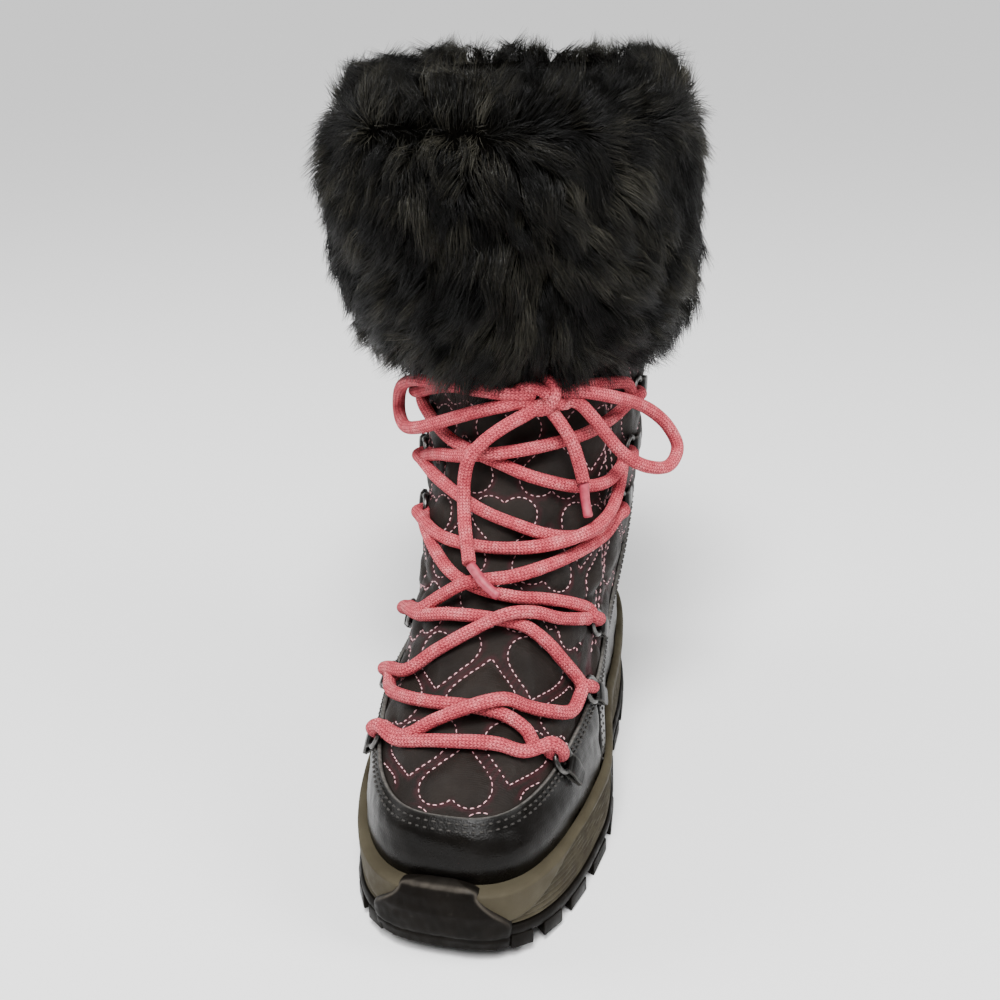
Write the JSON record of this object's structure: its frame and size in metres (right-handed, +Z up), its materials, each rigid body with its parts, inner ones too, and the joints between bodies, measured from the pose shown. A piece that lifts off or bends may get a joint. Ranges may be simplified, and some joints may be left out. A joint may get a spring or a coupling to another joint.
{
  "type": "snow boot",
  "caption": "Quilted snow boot for the right foot with a lugged sole, ribbed midsole, leather toe and heel, deep fur cuff and a lace through wire rings to a bow.",
  "frame": {"origin": "on the floor, under the middle of the boot's box without the bow", "axes": "+Z up along the shaft, the toe towards -Y, the heel towards +Y, the inner side of the foot towards +X"},
  "size_m": [0.1632, 0.2828, 0.301],
  "materials": {
    "rubber": "matt moulded rubber, scuffed on the bumper",
    "foam": "matt taupe foam rubber with fine ribs",
    "felt": "dense felt",
    "quilt": "quilted nylon with pink stitching",
    "leather": "glossy coated leather, creased",
    "fur": "long pile, clumped",
    "wire": "dark plated wire",
    "lace": "round braided cord",
    "lace_tip": "wrapped tip"
  },
  "bodies": {
    "root": {"outsole": "rubber", "midsole": "foam", "insole": "felt", "upper": "quilt", "toe_rand": "leather", "heel_counter": "leather", "fur_cuff": "fur", "ring_outer_1": "wire", "ring_outer_2": "wire", "ring_outer_3": "wire", "ring_outer_4": "wire", "ring_outer_5": "wire", "ring_outer_6": "wire", "ring_inner_1": "wire", "ring_inner_2": "wire", "ring_inner_3": "wire", "ring_inner_4": "wire", "ring_inner_5": "wire", "ring_inner_6": "wire", "lace": "lace", "bow_knot": "lace", "bow_loop_outer": "lace", "bow_loop_inner": "lace", "lace_end_long": "lace", "lace_end_short": "lace", "lace_tip_long": "lace_tip", "lace_tip_short": "lace_tip"}
  },
  "joints": []
}
